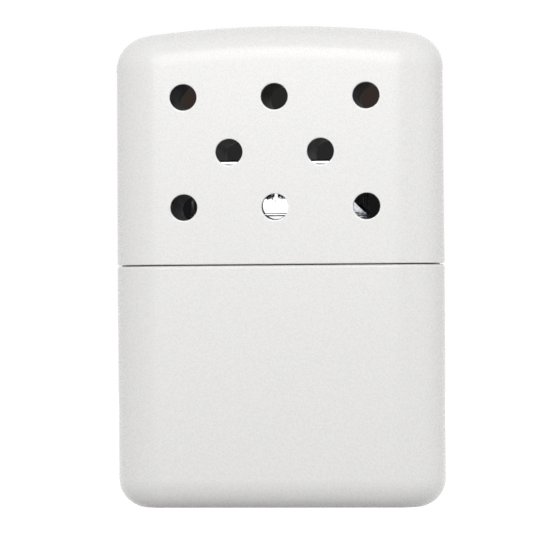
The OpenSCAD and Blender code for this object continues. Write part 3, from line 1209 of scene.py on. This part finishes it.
# %% Weave the gauze
WIRE = 0.06 * MM
LIFT = 0.062 * MM
MESH = 0.7 * MM
QUARTER = MESH / 4


def wave_wire(length, first, sign):
    """One upright wire, waved over and under the wires that cross it from first on."""
    wire = start(
        "wire", bpy.ops.mesh.primitive_cylinder_add, vertices=6, radius=WIRE, depth=length)
    edit(wire)
    cuts = int(length / QUARTER) - 1
    cut_columns([(i - cuts / 2) * QUARTER for i in range(cuts + 1)], axis=(0, 0, 1))

    def wave(vert):
        vert.co.y += sign * LIFT * math.cos(math.pi * (vert.co.z - first) / MESH)

    move_points(wire, wave)
    leave()
    return wire


def weave(name, node):
    """A flat woven gauze that fills the box of a CAD node."""
    low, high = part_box(node)
    wires = []
    for turned_over in (False, True):
        length, other = (high.z - low.z), (high.x - low.x)
        if turned_over:
            length, other = other, length
        count = int((other - 2 * WIRE) / MESH) + 1
        crossing = int((length - 2 * WIRE) / MESH)
        first = -crossing * MESH / 2
        for i in range(2):
            sign = 1 if (i == 0) != turned_over else -1
            wire = wave_wire(length, first, sign)
            wire.data.transform(Matrix.Translation(((i - (count - 1) / 2) * MESH, 0, 0)))
            use(wire, "ARRAY", count=(count + 1 - i) // 2, use_relative_offset=False,
                use_constant_offset=True, constant_offset_displace=(2 * MESH, 0, 0))
            if turned_over:
                wire.data.transform(Matrix.Rotation(-math.pi / 2, 4, "Y"))
            wires.append(wire)
    gauze = join(wires, name)
    gauze.data.transform(Matrix.Translation((low + high) / 2))
    place(gauze, "burner", node, slot="gauze_wire", finish=wire_steel, angle=60)


weave("front_weave", "front_gauze")
weave("rear_weave", "rear_gauze")

# %% [markdown]
# ## Soft filling
#
# Cotton, felt and glass-fibre mat are tangles of fibres. The shared tangle
# shades their colour and lifts their surface, and a little sheen stands for
# the fuzz that is too fine to draw.

# %% Mix the soft materials
def soft_finish(name, shade, light, scale, curl, height, roughness=0.95):
    """Fibres: a tangle that shades the colour and lifts the surface."""
    made, tree, shader = new_finish(name, light, 0.0, roughness)
    fibres = effect(tree, tangle, Scale=scale, Curl=curl)
    vary_colour(tree, shader, fibres, shade, light)
    emboss(tree, shader, (fibres, height))
    set_levels(shader, Specular_IOR_Level=0.2, Sheen_Weight=0.3, Sheen_Roughness=0.5)
    return made


cotton = soft_finish(
    "cotton_wool", (0.62, 0.60, 0.56), (0.90, 0.89, 0.86), 1400.0, 1.8, 0.20 * MM)
wool_felt = soft_finish(
    "wick_wool", (0.55, 0.51, 0.44), (0.82, 0.79, 0.71), 3600.0, 1.0, 0.06 * MM)
# The glass fibre's colour is painted near black: painted shade for the dim inside of the burner.
glass_mat_painted_dark = soft_finish(
    "glass_fibre_painted_dark", (0.010, 0.009, 0.009), (0.10, 0.095, 0.095), 5200.0, 1.2, 0.05 * MM,
    roughness=0.6)

# %% [markdown]
# Soft stuffing is springy: packed into a space, it swells until something
# holds it. Cloth simulation does the same. A closed block a little smaller
# than its space is remeshed evenly and blown up with gentle pressure, and no
# point may move further than the slack it has. The cloth solver is made for
# things the size of cushions, so the block is ten times its size meanwhile.
# Tufts and folds come after, as a noise that moves each point along its
# normal.

# %% Helpers for soft pieces
GROWN = 10
CLOTH_FRAMES = 20
TUFT_LEVEL = 0.8


def swell(piece, voxel, pressure, most):
    """Blows the closed piece up as cloth, and caps how far any point moves."""
    piece.data.transform(Matrix.Scale(GROWN, 4))
    use(piece, "REMESH", mode="VOXEL", voxel_size=voxel * GROWN)
    before = [vert.co.copy() for vert in piece.data.vertices]
    cloth = piece.modifiers.new("cloth", "CLOTH")
    cloth.settings.use_pressure = True
    cloth.settings.uniform_pressure_force = pressure
    cloth.settings.effector_weights.gravity = 0
    for number in range(1, CLOTH_FRAMES + 1):
        scene.frame_set(number)
    bpy.ops.object.modifier_apply(modifier=cloth.name)
    scene.frame_set(1)
    moved = 0.0
    for vert, was in zip(piece.data.vertices, before):
        step = vert.co - was
        moved = max(moved, step.length / GROWN)
        if step.length > most * GROWN:
            vert.co = was + step.normalized() * most * GROWN
    piece.data.transform(Matrix.Scale(1 / GROWN, 4))
    print(piece.name, "swelled by", round(moved / MM, 2), "mm, capped at", round(most / MM, 2))


def tousle(piece, size, amount):
    """Moves each point along its normal by a ridged noise, for tufts and folds."""
    piece.data.update()
    normals = [vert.normal.copy() for vert in piece.data.vertices]
    for vert, normal in zip(piece.data.vertices, normals):
        tuft = 0.0
        for octave in range(3):
            rough = noise.noise(vert.co / size * 2 ** octave) * 2 ** -octave
            tuft += (1 - 2 * abs(rough)) - TUFT_LEVEL
        vert.co += normal * amount * tuft


def keep_inside(piece, size, low_z, high_z):
    """Pushes any point that left the stadium block back to its face."""
    half, radius = (size[0] - size[1]) / 2, size[1] / 2
    for vert in piece.data.vertices:
        vert.co.z = min(max(vert.co.z, low_z), high_z)
        centre = Vector((min(max(vert.co.x, -half), half), 0))
        out = Vector((vert.co.x, vert.co.y)) - centre
        if out.length > radius:
            vert.co.x, vert.co.y = centre + out.normalized() * radius


def soft_piece(name, node, body, slack, edge, voxel, pressure, tuft, material, slot):
    """A swollen pad that fills the space of a CAD node."""
    low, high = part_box(node)
    size = (high.x - low.x, high.y - low.y)
    pad = stadium_block(name, size[0] - 2 * slack, size[1] - 2 * slack, low.z + slack + edge,
                        high.z - slack - edge)
    edit(pad)
    for way in (-1, 1):
        pick(pad, "faces", facing(0, 0, way))
        round_over(edge, steps=4)
    leave()
    swell(pad, voxel, pressure, slack)
    use(pad, "SUBSURF", levels=1, render_levels=1)
    tousle(pad, *tuft)
    keep_inside(pad, size, low.z, high.z)
    wear(pad, material)
    bpy.ops.object.shade_smooth()
    place(pad, body, node, slot=slot)


# %% [markdown]
# ### Wadding, wick and mat
#
# Two wads of cotton fill the tank and drink up the fuel. A pad of felt lies
# on them under the neck, and the fuel's vapour rises through it. In the
# burner, a mat of glass fibre coated with a catalyst is where the vapour
# burns without a flame. Its colour is painted near black, a painted shade
# for how dim it lies inside the burner.

# %% Swell the soft pieces
for level_name, edge in (("lower", 2.9 * MM), ("upper", 1.2 * MM)):
    soft_piece(
        "cotton_" + level_name, "wadding_" + level_name, "tank", slack=0.7 * MM, edge=edge,
        voxel=0.8 * MM, pressure=4, tuft=(3.2 * MM, 0.22 * MM), material=cotton,
        slot="cotton")
soft_piece(
    "felt_wick", "wick_felt", "tank", slack=0.16 * MM, edge=0.25 * MM, voxel=0.42 * MM,
    pressure=2, tuft=(1.2 * MM, 0.04 * MM), material=wool_felt, slot="felt")
soft_piece(
    "fibre_mat", "catalyst_mat", "burner", slack=0.28 * MM, edge=0.5 * MM, voxel=0.35 * MM,
    pressure=4, tuft=(0.9 * MM, 0.12 * MM), material=glass_mat_painted_dark, slot="glass_fibre")

# %% [markdown]
# ### Loose fibres
#
# A cut edge of glass-fibre mat frays. Short tufts poke through the gauze and
# hang over the windows' lower edges; they wear the mat's colour, painted near
# black as painted shade. One tuft is a cone, bent over in four steps, and
# each copy gets its own place, size and lean from a seeded draw, so that
# every run is the same.

# %% Fray the mat's edge
TUFTS = 15
TUFT_ROOM = 0.4 * MM
TUFT_ROOT = 0.45 * MM
draw = random.Random(11)
sill_y = case[1] / 2
bends = ((0.5, 0.0, 0.9), (0.3, 0.2, 0.8), (0.2, 0.4, 0.7), (0.02, 0.4, 0.4))
tufts = []


def tuft_at(x, way, thick, reach, drop, lean):
    """A tapered tuft from behind the gauze out over the window's sill."""
    tuft = start(
        "tuft", bpy.ops.mesh.primitive_circle_add, vertices=5, radius=thick, fill_type="NGON",
        rotation=(math.pi / 2, 0, 0))
    bpy.ops.object.transform_apply(rotation=True)
    edit(tuft)
    bpy.ops.mesh.select_all(action="SELECT")
    for out, down, taper in bends:
        bpy.ops.mesh.extrude_region_move(TRANSFORM_OT_translate={
            "value": (lean * down, -reach * out, -drop * down)})
        bpy.ops.transform.resize(value=(taper, taper, taper))
    leave()
    tuft.data.transform(Matrix.Rotation(0 if way < 0 else math.pi, 4, "Z"))
    root_y = (sill_y - NECK_WALL - TUFT_ROOT) * way
    tuft.data.transform(Matrix.Translation((x, root_y, window_low + thick + drop * 0.3)))
    return tuft


for way in (-1, 1):
    for middle in middles:
        for i in range(TUFTS):
            share = i / (TUFTS - 1) - 0.5
            x = middle + share * (window_width - TUFT_ROOM) + draw.uniform(-0.10, 0.10) * MM
            tufts.append(tuft_at(
                x, way, draw.uniform(0.05, 0.15) * MM, draw.uniform(0.75, 0.9) * MM,
                draw.uniform(0.3, 0.6) * MM * draw.choice((1, 1, 1, 1.6)),
                draw.uniform(-0.3, 0.3) * MM))
fray = join(tufts, "mat_fray")
edit(fray)
bpy.ops.mesh.select_all(action="SELECT")
bpy.ops.mesh.normals_make_consistent(inside=False)
leave()
place(fray, "burner", slot="glass_fibre", finish=glass_mat_painted_dark, angle=60)

# %% [markdown]
# ## Finishes for the CAD's own pieces
#
# The sealant, the plate over the wadding, the screen and its ring are right
# as the CAD has them: flat stampings and a bead. They only need a finish.

# %% Finish the carried-over pieces
sealant, tree, shader = new_finish("grey_sealant", (0.10, 0.10, 0.105), 0.0, 0.55)
skin = effect(tree, smudge, Scale=500.0)
dust = effect(tree, grain, Scale=5000.0)
vary_colour(tree, shader, dust, (0.075, 0.075, 0.08), (0.13, 0.13, 0.135))
vary_roughness(tree, shader, skin, 0.42, 0.68)
emboss(tree, shader, (skin, 0.04 * MM), (dust, 0.006 * MM))

for name, finish in (
    ("cap_seal", sealant),
    ("wadding_retainer", dull_steel),
    ("lower_screen", dull_steel),
    ("retaining_ring", dull_steel),
):
    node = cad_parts[name]
    node.data.materials.clear()
    wear(node, finish)
    print(name, "finished with", finish.name)

# %% [markdown]
# ## A dark card behind the holes
#
# Through the lid the lens looks out of the holes at the back, and would see
# the white sheet there. A photographer closes them with a dark card, so that
# the holes read as holes. The card is part of the stage. It lies in the
# thickness of the lid's back wall, where it covers only the holes, goes with
# the lid, and shows only from the front. Its front takes no light: it glows
# at fixed dark tones, painted, with a little brown in its upper corners and a
# deeper grey near its foot, for what is seen through the vents.

# %% Hang the card
CARD_SIZE = (34 * MM, 24 * MM, 1)
CARD_INSET = 0.3 * MM
CARD_Z = 54.3 * MM
CARD_FOOT = (0.009, 0.0085, 0.009, 1)
CARD_GREY = (0.022, 0.021, 0.021, 1)
CARD_BROWN = (0.036, 0.026, 0.022, 1)
card = start(
    "dark_card", bpy.ops.mesh.primitive_plane_add, size=1, rotation=(math.pi / 2, 0, 0))
card.scale = CARD_SIZE
card.location = (0, depth / 2 - CARD_INSET, CARD_Z)
bpy.ops.object.transform_apply(location=True, rotation=True, scale=True)
shade = bpy.data.materials.new("card_painted_glow")
shade.use_nodes = True
tree = shade.node_tree
tree.nodes.clear()
to_side = calculate(tree, along(tree, 1, 0, 0), ("ABSOLUTE",))
height = along(tree, 0, 0, 1)
corners = calculate(
    tree, ramp(tree, to_side, 4 * MM, 10 * MM),
    ("MULTIPLY", ramp(tree, height, 57 * MM, 60 * MM)))
grey = mixed(tree, between(tree, height, 48 * MM, 52 * MM), CARD_FOOT, CARD_GREY)
# Painted tones: the card's front glows at these fixed colours instead of being lit.
dark = add(tree, "Emission", ("Color", mixed(tree, corners, grey, CARD_BROWN)))
clear = add(tree, "BsdfTransparent")
behind = add(tree, "NewGeometry").outputs["Backfacing"]
front_only = add(tree, "MixShader", (0, behind), (1, dark.outputs[0]), (2, clear.outputs[0]))
add(tree, "OutputMaterial", ("Surface", front_only.outputs[0]))
wear(card, shade)
card.visible_diffuse = False
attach(card, "lid")
